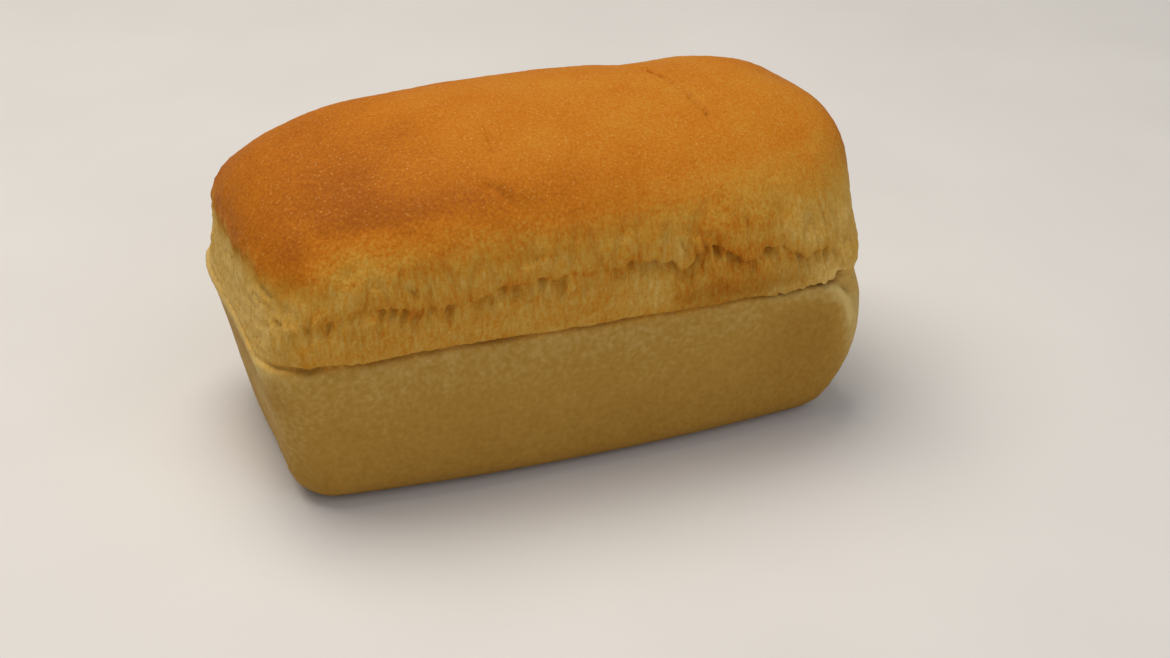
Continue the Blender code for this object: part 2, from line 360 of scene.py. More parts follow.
# The crease at the rim, with what hangs over it and what stands under it
rimCrease = {
    "depth": {"right": 0.0, "left": 0.8, "front": 2.2, "back": 1.3},
    "width": 0.9,
    "wander": ((0.9, (9.0, 9.0, 400.0), 1.9), (0.45, (2.2, 2.2, 400.0), 6.6)),
    "unevenness": (0.8, (14.0, 14.0, 200.0), 2.8),
    # It runs out at the right corner, where a filled neck takes its place
    "cornerEnd": (95.0, 100.0),
    "fill": 1.3,
    "fillWidth": 4.0,
    # Near the right end of the front the torn band hangs over it in a ragged lip
    "lip": 0.65,
    "lipRise": 1.2,
    "lipWidth": 1.2,
    "lipSpan": (52.0, 74.0),
    "lipEnd": (90.0, 95.0),
    "teeth": (0.9, 2.0, 4.9),
    "deeper": 0.7,  # the crease under the lip
    # Dough pressed out into a ridge under it, at the left end
    "ridge": 0.9,
    "ridgeDrop": 1.9,
    "ridgeWidth": 1.8,
}


def rimRelief(points, weights):
    aboveRim = points[:, 2] - loafForm["rimHeight"] - layered(points, *rimCrease["wander"])
    uneven = 1 + layered(points, rimCrease["unevenness"])
    ridge = rimCrease["ridge"] * weights["left"]
    ridge = ridge * bell(aboveRim + rimCrease["ridgeDrop"], rimCrease["ridgeWidth"])
    inward = 1 - smoothStep(*rimCrease["cornerEnd"], points[:, 0])
    uneven = uneven + rimCrease["deeper"] * smoothStep(*rimCrease["lipSpan"], points[:, 0])
    crease = bySide(weights, rimCrease["depth"]) * inward * uneven * bell(aboveRim, rimCrease["width"])
    fill = rimCrease["fill"] * (1 - inward) * weights["right"]
    return ridge - crease + fill * bell(points[:, 2] - loafForm["rimHeight"], rimCrease["fillWidth"])


def rimLip(points):
    # How far the torn band hangs down over the pan part, near the right end of the front
    x = points[:, 0]
    ragged = 1 + wandering(x, rimCrease["teeth"])
    span = smoothStep(*rimCrease["lipSpan"], x) * (1 - smoothStep(*rimCrease["lipEnd"], x))
    up = points[:, 2] - loafForm["rimHeight"] - rimCrease["lipRise"]
    return rimCrease["lip"] * ragged * span * bell(up, rimCrease["lipWidth"])


# Folds and short cracks round the tear, as (x, z), with the rise beside them
frontFolds = (
    {"start": (30.0, 91.5), "end": (42.0, 86.5), "depth": 1.1, "width": 0.8, "rise": 0.7},
    {"start": (34.0, 87.0), "end": (37.5, 78.5), "depth": 1.5, "width": 0.7, "rise": 0.8},
    {"start": (31.0, 88.0), "end": (33.5, 80.0), "depth": 1.0, "width": 0.7, "rise": 0.5},
    {"start": (48.0, 80.0), "end": (56.0, 74.5), "depth": 1.0, "width": 0.8, "rise": 0.6},
    {"start": (66.0, 78.0), "end": (56.0, 75.0), "depth": 0.9, "width": 0.8, "rise": 0.0},
    {"start": (37.0, 79.0), "end": (40.0, 73.0), "depth": 1.3, "width": 0.7, "rise": 0.6},
    {"start": (38.5, 87.0), "end": (41.5, 79.0), "depth": 1.1, "width": 0.6, "rise": 0.6},
    {"start": (43.0, 83.5), "end": (46.5, 76.0), "depth": 1.4, "width": 0.7, "rise": 0.5},
    {"start": (44.5, 75.5), "end": (45.0, 69.0), "depth": 0.8, "width": 0.6, "rise": 0.2},
    {"start": (26.0, 90.0), "end": (27.0, 85.5), "depth": 0.7, "width": 0.6, "rise": 0.2},
    {"start": (73.0, 78.5), "end": (75.0, 72.5), "depth": 0.9, "width": 0.7, "rise": 0.3},
    {"start": (93.0, 89.0), "end": (93.0, 81.0), "depth": 0.5, "width": 0.6, "rise": 0.1},
    {"start": (90.5, 72.0), "end": (96.0, 60.0), "depth": 0.8, "width": 1.0, "rise": 0.5},
    {"start": (-61.0, 86.0), "end": (-57.0, 80.0), "depth": 0.9, "width": 0.7, "rise": 0.4},
    {"start": (-14.0, 90.0), "end": (-23.0, 86.5), "depth": 0.8, "width": 0.8, "rise": 0.4},
)

# Small folds on the left end, as (y, z)
leftFolds = (
    {"start": (4.0, 75.0), "end": (-18.0, 80.5), "depth": 0.6, "width": 0.7, "rise": 0.6},
    {"start": (-36.0, 82.0), "end": (-47.0, 78.0), "depth": 0.5, "width": 0.7, "rise": 0.5},
    {"start": (34.0, 77.0), "end": (20.0, 74.5), "depth": 0.5, "width": 0.8, "rise": 0.4},
)

# Creases across the top, from (x, y) to (x, y), with the rise of the crown on the +X side
topCreases = (
    {"start": (42.0, 18.0), "end": (55.5, -35.0), "bow": 2.0, "depth": 1.7, "width": 0.6, "rise": 0.5},
    {"start": (-21.0, -16.0), "end": (-24.0, -38.0), "depth": 0.8, "width": 2.0, "rise": 0.4},
    {"start": (-30.0, -42.0), "end": (-21.0, -55.0), "depth": 1.1, "width": 1.6, "rise": 0.9},
)

creaseShape = {
    "riseReach": 14.0,
    "foldReach": 4.0,
    "fadeIn": (-0.1, 0.2),
    "fadeOut": (0.8, 1.1),
    "topWander": 1.6,
    "sideWander": 0.7,
    "wander": ((1.0, (9.0, 9.0, 1.0), 4.4), (0.4, (3.0, 3.0, 1.0), 8.4)),
    "broken": (0.8, (4.0, 4.0, 1.0), 6.2),  # how the depth varies along a crease
}


def creaseRelief(flat, creases, riseReach, wanderWidth):
    # Creases drawn on two of the axes, each with a rise beside it
    total = np.zeros(len(flat))
    spread = np.column_stack((flat, np.zeros(len(flat))))
    wander = layered(spread, *creaseShape["wander"])
    uneven = 1 + layered(spread, creaseShape["broken"])
    for crease in creases:
        start = np.array(crease["start"])
        run = np.array(crease["end"]) - start
        offset = flat - start
        share = offset @ run / (run @ run)
        beside = (run[0] * offset[:, 1] - run[1] * offset[:, 0]) / np.hypot(*run)
        beside = beside + wanderWidth * wander - crease.get("bow", 0.0) * arch(share)
        fade = smoothStep(*creaseShape["fadeIn"], share)
        fade = fade * (1 - smoothStep(*creaseShape["fadeOut"], share))
        rise = np.where(beside > 0, crease["rise"] * np.exp(-np.abs(beside) / riseReach), 0)
        total += fade * (rise - crease["depth"] * uneven * bell(beside, crease["width"]))
    return total


# The edge of the crust on the left end, as points (y, z), where it stands over the pale strip
leftEdge = {
    "points": (
        (-57.0, 76.0), (-44.0, 79.0), (-38.0, 82.8), (-32.0, 86.2), (-25.0, 87.6), (-18.0, 86.4),
        (-1.0, 85.3), (10.0, 83.7), (16.0, 84.7), (40.0, 82.0), (57.0, 78.0),
    ),
    "step": 0.55,
    "stepReach": 6.0,
    "groove": 0.55,
    "width": 1.0,
    "jitter": ((3.4, 6.0, 7.7), (1.6, 2.2, 3.1)),
}


def leftEdgeHeight(y):
    return along(leftEdge["points"], y) + wandering(y, *leftEdge["jitter"])


def leftEdgeRelief(points):
    above = points[:, 2] - leftEdgeHeight(points[:, 1])
    step = np.where(above > 0, leftEdge["step"] * np.exp(-np.abs(above) / leftEdge["stepReach"]), 0)
    return step - leftEdge["groove"] * bell(above + leftEdge["width"], leftEdge["width"])


# Dents and swellings: where (or from there to where), how far out of the surface, and their radius
swellings = (
    {"at": (70.0, 14.0, 117.0), "height": 0.4, "radius": 20.0},
    {"at": (45.0, 30.0, 114.0), "height": -1.4, "radius": 12.0},
    {"at": (99.0, 13.0, 108.0), "height": -1.8, "radius": 11.0},
    {"at": (95.0, 2.0, 110.0), "height": -1.0, "radius": 9.0},
    {"at": (-105.0, 36.0, 77.0), "height": -1.4, "radius": 7.0},
    {"at": (104.5, -45.0, 55.5), "height": -1.0, "radius": 4.0},
    {"at": (106.0, -25.0, 92.0), "height": 1.5, "radius": 16.0},
    {"at": (95.6, -54.5, 60.0), "to": (98.0, -53.5, 54.0), "height": -2.6, "radius": 2.3},
    {"at": (93.3, -56.8, 55.5), "to": (99.5, -54.2, 44.0), "height": 0.8, "radius": 1.7},
    {"at": (-103.0, 38.0, 90.0), "height": 1.2, "radius": 12.0},
    {"at": (104.0, -45.0, 54.0), "height": -1.1, "radius": 8.0},
    {"at": (104.0, -42.0, 65.0), "height": 1.3, "radius": 8.0},
    {"at": (-104.0, 40.0, 64.0), "height": -1.2, "radius": 8.0},
    {"at": (-54.0, -38.0, 106.0), "height": -0.8, "radius": 20.0},
    {"at": (-62.0, 25.0, 110.0), "height": 1.4, "radius": 17.0},
    {"at": (-86.0, 6.0, 99.0), "height": 1.6, "radius": 14.0},
    {"at": (24.0, -62.0, 81.5), "height": 0.7, "radius": 7.0},
    {"at": (50.0, -60.0, 81.0), "height": 1.2, "radius": 6.0},
    {"at": (73.0, -58.0, 81.0), "height": 1.1, "radius": 7.0},
    {"at": (33.0, -62.0, 74.5), "height": -1.6, "radius": 2.8},
    {"at": (31.5, -62.0, 88.0), "to": (35.5, -63.0, 79.0), "height": 0.9, "radius": 1.4},
    {"at": (37.0, -62.0, 86.0), "to": (39.0, -63.0, 75.0), "height": 1.0, "radius": 1.2},
    {"at": (41.5, -62.0, 82.0), "to": (43.5, -62.0, 72.0), "height": 1.0, "radius": 1.2},
    {"at": (47.5, -60.0, 77.0), "to": (48.5, -60.0, 71.0), "height": 0.7, "radius": 1.1},
    {"at": (78.0, -57.0, 71.0), "height": -1.8, "radius": 2.8},
)


def awayFrom(points, spot):
    # Distance from a spot, or from the line between its two ends
    start = np.array(spot["at"])
    run = np.array(spot.get("to", spot["at"])) - start
    share = np.clip((points - start) @ run / max(run @ run, tiny), 0, 1)
    return np.linalg.norm(points - start - share[:, None] * run, axis=1)


# Finer relief: height, spacing along x, y and z, and seed. The torn band is full from a little
# above the rim to its top, and gone at the shoulder
fineRelief = {
    "bandFoot": 5.0,
    "bandTop": (84.0, 105.0),
    "lump": (1.4, (48.0, 48.0, 48.0), 0.0),
    "dimple": (0.30, (13.0, 13.0, 13.0), 5.3),
    "pebble": (0.16, (3.0, 3.0, 3.0), 9.1),
    "fold": (1.4, (11.0, 11.0, 45.0), 3.7),
    "streak": (0.40, (3.4, 3.4, 18.0), 7.9),
    "fibre": (0.85, (1.8, 1.8, 6.0), 2.3),
    "fibreSpan": (8.0, -4.0),  # from the tear: none at the first height, all at the second
    "bulge": (1.5, (10.0, 10.0, 6.5), 31.7),  # uneven rolls of dough along the tear
    "bulgeReach": 9.0,
    "crumb": (0.55, (2.3, 2.3, 2.3), 17.3),  # coarse crumb on the ends, where nothing stretched it
    "crumbDepth": {"right": 0.4, "left": 1.5, "front": 0.2, "back": 0.4},
    "foldDepth": {"right": 0.3, "left": 0.1, "front": 0.7, "back": 0.4},
    "streakDepth": {"right": 0.3, "left": 0.0, "front": 1.0, "back": 0.6},
    "pock": (0.35, (3.6, 3.6, 4.6), 15.5),
    "pockFrom": (0.30, 0.60),
    "pockEnd": (-8.0, -3.0),  # none of them at the rim
    "stillHeight": 14.0,
    "sideFacing": (0.35, 0.8),
    "topFacing": (0.3, 0.7),
}


def bandMask(points):
    rim = loafForm["rimHeight"]
    foot = smoothStep(rim, rim + fineRelief["bandFoot"], points[:, 2])
    return foot * (1 - smoothStep(*fineRelief["bandTop"], points[:, 2]))


def reliefOf(points, *names):
    return layered(points, *(fineRelief[name] for name in names))


def addRelief(bm):
    bm.normal_update()
    points = readPoints(bm)
    normals = np.array([v.normal for v in bm.verts])
    weights = sideWeights(normals)
    band = bandMask(points)
    sheared = leaning(points)
    aboveTear = points[:, 2] - tearHeight(points[:, 0])
    rise = reliefOf(points, "lump", "dimple", "pebble")
    rise += band * bySide(weights, fineRelief["foldDepth"]) * reliefOf(points, "fold")
    drawnOut = smoothStep(*fineRelief["fibreSpan"], aboveTear)
    streaks = reliefOf(sheared, "streak") + reliefOf(sheared, "fibre") * drawnOut
    rise += band * bySide(weights, fineRelief["streakDepth"]) * streaks
    rise += band * bySide(weights, fineRelief["crumbDepth"]) * reliefOf(points, "crumb")
    rim = rimRelief(points, weights)
    rise += rim
    tear, droop = tearRelief(points, aboveTear)
    tear = tear + puckerRelief(sheared, aboveTear)
    tear = tear + reliefOf(points, "bulge") * bell(aboveTear, fineRelief["bulgeReach"])
    sideCreases = creaseShape["foldReach"], creaseShape["sideWander"]
    tear = tear + creaseRelief(points[:, [0, 2]], frontFolds, *sideCreases)
    tear = np.where(tear < 0, tearLine["deepest"] * np.tanh(tear / tearLine["deepest"]), tear)
    hanging = weights["front"] * rimLip(points)
    rise += weights["front"] * band * tear + hanging
    onLeft = leftEdgeRelief(points) + creaseRelief(points[:, 1:], leftFolds, *sideCreases)
    rise += weights["left"] * onLeft
    crossing = creaseShape["riseReach"], creaseShape["topWander"]
    onTop = smoothStep(*fineRelief["topFacing"], normals[:, 2])
    onTop = onTop * creaseRelief(points[:, :2], topCreases, *crossing)
    rise += onTop
    height, spacing, seed = fineRelief["pock"]
    inPan = 1 - smoothStep(*fineRelief["pockEnd"], points[:, 2] - loafForm["rimHeight"])
    rise -= inPan * height * smoothStep(*fineRelief["pockFrom"], grain(points, spacing, seed))
    for swell in swellings:
        rise += swell["height"] * bell(awayFrom(points, swell), swell["radius"])
    # Painted shade in the recesses: the tear's groove and folds, the creases on the top and the crease
    # at the rim
    dull = smoothStep(*baking["tearShadeDepth"], weights["front"] * band * tear)
    dull = np.maximum(dull, smoothStep(*baking["creaseShadeDepth"], onTop))
    dull = np.maximum(dull, smoothStep(*baking["rimShadeDepth"], weights["front"] * rim))
    still = smoothStep(0, fineRelief["stillHeight"], points[:, 2])
    moved = points + normals * (still * rise)[:, None]
    moved[:, 2] -= weights["front"] * band * droop + hanging
    movePoints(bm, moved)
    print("relief from", round(rise.min(), 2), "to", round(rise.max(), 2), "mm")
    return points, normals, dull


def closeBase(bm):
    # One flat face to stand on, with a narrow ring of faces round it
    base = [f for f in bm.faces if all(v.co.z < nearEdge for v in f.verts)]
    for vert in {v for f in base for v in f.verts}:
        vert.co.z = 0.0
    rest = bmesh.ops.dissolve_faces(bm, faces=base, use_verts=True)["region"]
    bmesh.ops.inset_individual(bm, faces=rest, thickness=loafGrid["baseRing"])


# How brown the crust is: 0 is the palest torn crumb and 1 the deepest crust
baking = {
    "crustLine": {"right": 87.0, "left": 83.0, "front": 98.0, "back": 91.0},
    "softness": {"right": 11.0, "left": 8.0, "front": 15.0, "back": 12.0},
    "leastSoftness": 2.0,
    "leastFacing": 0.2,  # less than this towards any side, and the surface lies flat
    "topFacing": (0.6, 0.85),
    "lineWander": ((4.0, (16.0, 16.0, 30.0), 6.1), (1.6, (4.0, 4.0, 18.0), 8.8)),
    "fullWander": 8.0,  # a line softer than this wanders in full
    "tornTone": {"right": 0.14, "left": 0.11, "front": 0.46, "back": 0.34},
    "endFuzz": {"right": 0.3, "left": 0.75},  # share of the torn crumb's fuzz on the ends
    "crustTone": 0.71,
    "leftBrowning": 0.15,
    "leftSpan": (10.0, -105.0),
    "shoulderBrowning": 0.20,
    "shoulderSpan": (50.0, -30.0),
    "shoulderFacing": (0.3, 0.8),
    "crustMarks": (
        {"at": (-74.0, -24.0, 110.0), "radius": 24.0, "tone": 0.08},
        {"at": (-46.0, -50.0, 103.0), "radius": 20.0, "tone": 0.07},
        {"at": (-100.0, -12.0, 100.0), "radius": 12.0, "tone": -0.06},
    ),
    "paleEnd": (48.0, 96.0),
    "paleTone": 0.23,
    # The torn crumb is paler just above the rim and browner round the tear: how much, how far up,
    # how wide
    "rimPale": (0.15, 3.0, 3.0),
    "lipBrown": (0.10, 0.5, 3.0),
    "tornPatches": (0.11, (8.0, 8.0, 5.0), 14.6),
    # The pan skin darkens from the rim to the base: painted shade near the floor
    "panTone": (0.58, 0.34),  # at the base and at the rim
    "skinEdge": (-2.5, 0.5),  # it turns into torn crumb between these heights from the rim
    "rightBlend": (20.0, 8.0),  # no crease at the right end, so the pan skin fades out there
    "panSides": {"right": -0.34, "left": -0.18},
    # Browner or paler marks on the torn band and on the pan skin, like those on the crust above; among
    # them painted shade on the band and painted highlights on the pan skin, told at each
    "bandMarksAndShade": (
        {"at": (21.0, -62.0, 68.0), "radius": 7.0, "tone": -0.2},
        {"at": (30.0, -62.0, 86.0), "radius": 5.0, "tone": -0.14},
        # This mark and the next are painted shade in the undercut above the rim
        {"at": (36.0, -62.0, 66.0), "to": (58.0, -60.0, 68.0), "radius": 7.0, "tone": 0.18},
        {"at": (78.0, -58.0, 64.0), "radius": 6.0, "tone": 0.12},
        {"at": (40.0, -60.0, 86.0), "to": (66.0, -58.0, 86.0), "radius": 7.0, "tone": 0.14},
        {"at": (84.0, -48.0, 97.0), "to": (92.0, -40.0, 97.0), "radius": 9.0, "tone": 0.2},
    ),
    "panMarksAndHighlights": (
        {"at": (86.0, -57.0, 40.0), "radius": 19.0, "tone": 0.22},
        # This mark and the next are a painted highlight along the pan's corner ridge
        {"at": (93.3, -56.8, 56.0), "to": (100.0, -53.5, 42.0), "radius": 1.5, "tone": -0.4},
        {"at": (93.3, -56.8, 56.0), "to": (100.0, -53.5, 42.0), "radius": 6.0, "tone": -0.22},
        {"at": (72.0, -56.0, 57.0), "to": (92.0, -56.0, 56.0), "radius": 5.0, "tone": -0.15},
        # Painted highlight along the ledge at the left end's rim
        {"at": (-107.0, -48.0, 56.0), "to": (-107.0, 48.0, 56.0), "radius": 3.0, "tone": -0.34},
        {"at": (-104.0, -48.0, 44.0), "to": (-104.0, 48.0, 44.0), "radius": 8.0, "tone": 0.2},
        {"at": (102.0, -51.0, 33.0), "radius": 9.0, "tone": -0.2},
    ),
    # Painted shade in the recesses: how deep the relief there is, and the undercut above the rim
    "tearShadeDepth": (-0.4, -2.3),
    "creaseShadeDepth": (-0.5, -2.6),
    "rimShadeDepth": (-0.9, -3.6),
    "undercutRise": 6.0,
    "undercutWidth": 6.0,
    "undercutShade": 0.65,
    "undercutStart": (26.0, 38.0),
    "undercutEnd": (92.0, 66.0),
}


def marked(points, marks):
    return sum(mark["tone"] * bell(awayFrom(points, mark), mark["radius"]) for mark in marks)


def bakeTones(points, normals, dull):
    # Of each point: how brown, how far pan skin, how torn, how brown the pan skin, how much painted
    # shade, and how many pinholes
    weights = sideWeights(normals)
    facing = sum(weights.values())
    shares = {side: weights[side] / np.maximum(facing, baking["leastFacing"]) for side in weights}
    height = points[:, 2]
    aboveRim = height - loafForm["rimHeight"]
    aboveTear = height - tearHeight(points[:, 0])

    # Where the browned crust ends
    line = bySide(shares, baking["crustLine"]) * (1 - shares["left"])
    line = line + shares["left"] * leftEdgeHeight(points[:, 1])
    line = np.where(facing > baking["leastFacing"], line, baking["crustLine"]["front"])
    soft = np.maximum(bySide(shares, baking["softness"]), baking["leastSoftness"])
    wander = layered(points, *baking["lineWander"]) * np.minimum(soft / baking["fullWander"], 1)
    crust = smoothStep(line - soft, line + soft, height + wander)
    crust = np.maximum(crust, smoothStep(*baking["topFacing"], normals[:, 2]))

    # How brown the torn crumb and the crust are
    torn = bySide(shares, baking["tornTone"])
    pale = smoothStep(*baking["paleEnd"], points[:, 0]) * shares["front"]
    torn = torn * (1 - pale) + baking["paleTone"] * pale
    amount, rise, width = baking["rimPale"]
    torn = torn - amount * bell(aboveRim - rise, width) * pale
    amount, rise, width = baking["lipBrown"]
    torn = torn + amount * bell(aboveTear - rise, width) * shares["front"]
    torn = torn + layered(points, baking["tornPatches"]) + marked(points, baking["bandMarksAndShade"])
    tone = baking["leftBrowning"] * smoothStep(*baking["leftSpan"], points[:, 0])
    tone = baking["crustTone"] + tone
    shoulder = smoothStep(*baking["shoulderFacing"], -normals[:, 1])
    shoulder = shoulder * smoothStep(*baking["shoulderSpan"], points[:, 0])
    tone = tone + baking["shoulderBrowning"] * shoulder + marked(points, baking["crustMarks"])
    browning = torn * (1 - crust) + tone * crust

    # The pan skin
    low, high = baking["rightBlend"]
    foot, top = baking["skinEdge"]
    skin = 1 - smoothStep(foot - low * shares["right"], top + high * shares["right"], aboveRim)
    # Darker towards the base as painted shade near the floor
    shadedBase, atRim = baking["panTone"]
    panTone = atRim + (shadedBase - atRim) * smoothStep(loafForm["rimHeight"], 0.0, height)
    panTone = panTone + bySide(shares, baking["panSides"]) + marked(points, baking["panMarksAndHighlights"])

    # Painted shade in the undercut above the rim, as in the recesses
    span = smoothStep(*baking["undercutStart"], points[:, 0])
    span = span * smoothStep(*baking["undercutEnd"], points[:, 0])
    undercutShade = bell(aboveRim - baking["undercutRise"], baking["undercutWidth"])
    dull = np.maximum(dull, baking["undercutShade"] * undercutShade * shares["front"] * span * (1 - skin))

    crumb = (1 - crust) * (1 - skin)
    pinholes = crumb * shares["left"]
    fuzz = crumb * (1 - sum(shares[side] * (1 - share) for side, share in baking["endFuzz"].items()))
    return {"browning": browning, "panSkin": skin, "torn": fuzz, "panTone": panTone, "dull": dull,
            "pinholes": pinholes}


def toLinear(hexColour):
    # sRGB hex to the linear colour that the shader takes
    parts = [int(hexColour[i:i + 2], 16) / 255 for i in (1, 3, 5)]
    return tuple(c / 12.92 if c <= 0.04045 else ((c + 0.055) / 1.055) ** 2.4 for c in parts) + (1.0,)


def addNode(tree, kind, settings=None, links=None):
    # One node with its settings; a link comes from a node's first output, or from (node, output)
    node = tree.nodes.new(kind)
    for key, value in (settings or {}).items():
        if isinstance(key, int) or key in node.inputs.keys():
            node.inputs[key].default_value = value
        elif key == "stops":
            elements = node.color_ramp.elements
            while len(elements) < len(value):
                elements.new(0.5)
            for element, (position, hexColour) in zip(elements, value):
                element.position = position
                element.color = toLinear(hexColour)
        else:
            setattr(node, key, value)
    for key, source in (links or {}).items():
        start, output = source if isinstance(source, tuple) else (source, 0)
        tree.links.new(start.outputs[output], node.inputs[key])
    return node


def newMaterial(name):
    material = bpy.data.materials.new(name)
    material.use_nodes = True
    material.node_tree.nodes.clear()
    return material, material.node_tree


crustLook = {
    # Torn crumb, then straw, gold, orange and the deep brown of the left end
    "crust": (
        (0.0, "#dab66a"), (0.25, "#c79d4b"), (0.5, "#c08a30"), (0.75, "#b96e18"), (1.0, "#985210"),
    ),
    # Skin that baked against the pan, from its paler top to its browned patches
    "pan": ((0.0, "#ceb16c"), (0.4, "#ad853a"), (0.7, "#9c702a"), (1.0, "#875c20")),
    "speck": "#e6b566",
    # Painted shade: the colour mixed into the recesses and pinholes, and its largest share
    "paintedShadeColour": "#66400b",
    "paintedShadeShare": 0.48,
    # Patterns: the tone that each one moves, by how much, and the width of its cells in mm
    "patterns": {
        "blotch": ("browning", 0.06, 24.0),
        "mottle": ("browning", 0.13, 1.0),
        "fibre": ("browning", 0.21, 1.3),
        "panBlotch": ("panTone", 0.05, 26.0),
        "panMottle": ("panTone", 0.13, 2.0),
    },
    "fibreStretch": 3.5,  # fibres are drawn out upwards
    # Dots, at most one in a cell of so many mm: the chance of it, and its edge and top in cells
    # from its middle. Real pimples are 0.5 mm wide; here they are a little larger, so that they
    # show. Pinholes are about 1 mm wide
    "dots": {
        "pimple": {"cell": 1.4, "chance": (0.3, 1.1), "edge": (0.34, 0.10)},
        "pinhole": {"cell": 3.6, "chance": (0.3, 0.7), "edge": (0.20, 0.10)},
    },
    "pimplePatch": 9.0,
    # The finest relief in mm: height of the pimples, then width and height of the grain and fuzz
    "pimpleHeight": 0.12,
    "grain": (0.8, 0.12),
    "crumbFuzz": (1.0, 0.60),
    "roughness": (0.6, 0.85),  # of the crust's skin, and of the torn crumb
    "specular": 0.05,
    "subsurface": 0.06,
    "subsurfaceScale": 0.002,
    "subsurfaceRadius": (1.0, 0.5, 0.2),
}


def breadCrust():
    # Baked wheat crust: satin where the dough's skin browned, matt and fibrous where it tore open
    material, tree = newMaterial("bakedWheatCrust")
    place = (addNode(tree, "ShaderNodeTexCoord"), "Object")
    upright = {"Scale": (1, 1, 1 / crustLook["fibreStretch"])}
    drawnOut = addNode(tree, "ShaderNodeMapping", upright, {"Vector": place})
    baked = {}
    for name in ("browning", "panSkin", "torn", "panTone", "dull", "pinholes"):
        baked[name] = (addNode(tree, "ShaderNodeAttribute", {"attribute_name": name}), "Fac")

    # The tones, each varied by its patterns; the fibres show where the crumb is torn
    tone = dict(baked)
    for pattern, (name, amount, width) in crustLook["patterns"].items():
        fibrous = pattern == "fibre"
        where = drawnOut if fibrous else place
        cells = {"normalize": False, "Scale": 1 / (width * mm)}
        waves = addNode(tree, "ShaderNodeTexNoise", cells, {"Vector": where})
        if fibrous:
            torn = {0: waves, 1: baked["torn"]}
            waves = addNode(tree, "ShaderNodeMath", {"operation": "MULTIPLY"}, torn)
        share = {"operation": "MULTIPLY_ADD", 1: amount}
        tone[name] = addNode(tree, "ShaderNodeMath", share, {0: waves, 2: tone[name]})
    stops = {name: {"stops": crustLook[name]} for name in ("crust", "pan")}
    crust = addNode(tree, "ShaderNodeValToRGB", stops["crust"], {"Fac": tone["browning"]})
    pan = addNode(tree, "ShaderNodeValToRGB", stops["pan"], {"Fac": tone["panTone"]})

    # Scattered dots, the pimples on firm crust and the pinholes in the pale crumb
    firm = addNode(tree, "ShaderNodeMath", {"operation": "SUBTRACT", 0: 1.0}, {1: baked["torn"]})
    where = {"pimple": firm, "pinhole": baked["pinholes"]}
    dots = {}
    for name, look in crustLook["dots"].items():
        cells = {"Scale": 1 / (look["cell"] * mm)}
        cell = addNode(tree, "ShaderNodeTexVoronoi", cells, {"Vector": place})
        low, high = look["chance"]
        chance = {"From Min": low, "From Max": high}
        chance = addNode(tree, "ShaderNodeMapRange", chance, {"Value": (cell, "Color")})
        outer, inner = look["edge"]
        edge = {"From Min": outer, "From Max": inner}
        dot = addNode(tree, "ShaderNodeMapRange", edge, {"Value": cell})
        for factor in (chance, where[name]):
            dot = addNode(tree, "ShaderNodeMath", {"operation": "MULTIPLY"}, {0: dot, 1: factor})
        dots[name] = dot

    # The pimples are pale where the skin of the dough blistered, more in some patches
    size = crustLook["pimplePatch"] * mm
    thick = addNode(tree, "ShaderNodeTexNoise", {"Scale": 1 / size}, {"Vector": place})
    paleDot = {0: dots["pimple"], 1: thick}
    paleDot = addNode(tree, "ShaderNodeMath", {"operation": "MULTIPLY"}, paleDot)
    speck = {"data_type": "RGBA", 7: toLinear(crustLook["speck"])}
    speckled = addNode(tree, "ShaderNodeMix", speck, {0: paleDot, 6: crust})
    skins = {0: baked["panSkin"], 6: (speckled, 2), 7: pan}
    colour = addNode(tree, "ShaderNodeMix", {"data_type": "RGBA"}, skins)

    # Painted shade in the pinholes and the recesses
    hollows = {0: dots["pinhole"], 1: baked["dull"]}
    shadeAmount = addNode(tree, "ShaderNodeMath", {"operation": "MAXIMUM"}, hollows)
    share = {"operation": "MULTIPLY", 1: crustLook["paintedShadeShare"]}
    shadeAmount = addNode(tree, "ShaderNodeMath", share, {0: shadeAmount})
    shadeMix = {"data_type": "RGBA", 7: toLinear(crustLook["paintedShadeColour"])}
    colour = addNode(tree, "ShaderNodeMix", shadeMix, {0: shadeAmount, 6: (colour, 2)})

    # Fine relief, in mm: a grain all over, pimples on the crust and fuzz of crumb in the tears
    size, height = crustLook["grain"]
    fine = addNode(tree, "ShaderNodeTexNoise", {"Scale": 1 / (size * mm)}, {"Vector": place})
    size, fuzzHeight = crustLook["crumbFuzz"]
    fuzz = addNode(tree, "ShaderNodeTexNoise", {"Scale": 1 / (size * mm)}, {"Vector": drawnOut})
    fuzz = addNode(tree, "ShaderNodeMath", {"operation": "MULTIPLY"}, {0: fuzz, 1: baked["torn"]})
    surface = addNode(tree, "ShaderNodeMath", {"operation": "MULTIPLY", 1: height}, {0: fine})
    heights = {"operation": "MULTIPLY_ADD", 1: fuzzHeight}
    surface = addNode(tree, "ShaderNodeMath", heights, {0: fuzz, 2: surface})
    heights = {"operation": "MULTIPLY_ADD", 1: crustLook["pimpleHeight"]}
    surface = addNode(tree, "ShaderNodeMath", heights, {0: dots["pimple"], 2: surface})
    bump = addNode(tree, "ShaderNodeBump", {"Distance": mm}, {"Height": surface})
    satin, matt = crustLook["roughness"]
    rough = {"To Min": satin, "To Max": matt}
    rough = addNode(tree, "ShaderNodeMapRange", rough, {"Value": baked["torn"]})

    finish = {
        "Specular IOR Level": crustLook["specular"],
        "Subsurface Weight": crustLook["subsurface"],
        "Subsurface Scale": crustLook["subsurfaceScale"],
        "Subsurface Radius": crustLook["subsurfaceRadius"],
    }
    links = {"Base Color": (colour, 2), "Roughness": rough, "Normal": bump}
    shader = addNode(tree, "ShaderNodeBsdfPrincipled", finish, links)
    addNode(tree, "ShaderNodeOutputMaterial", links={"Surface": shader})
    return material


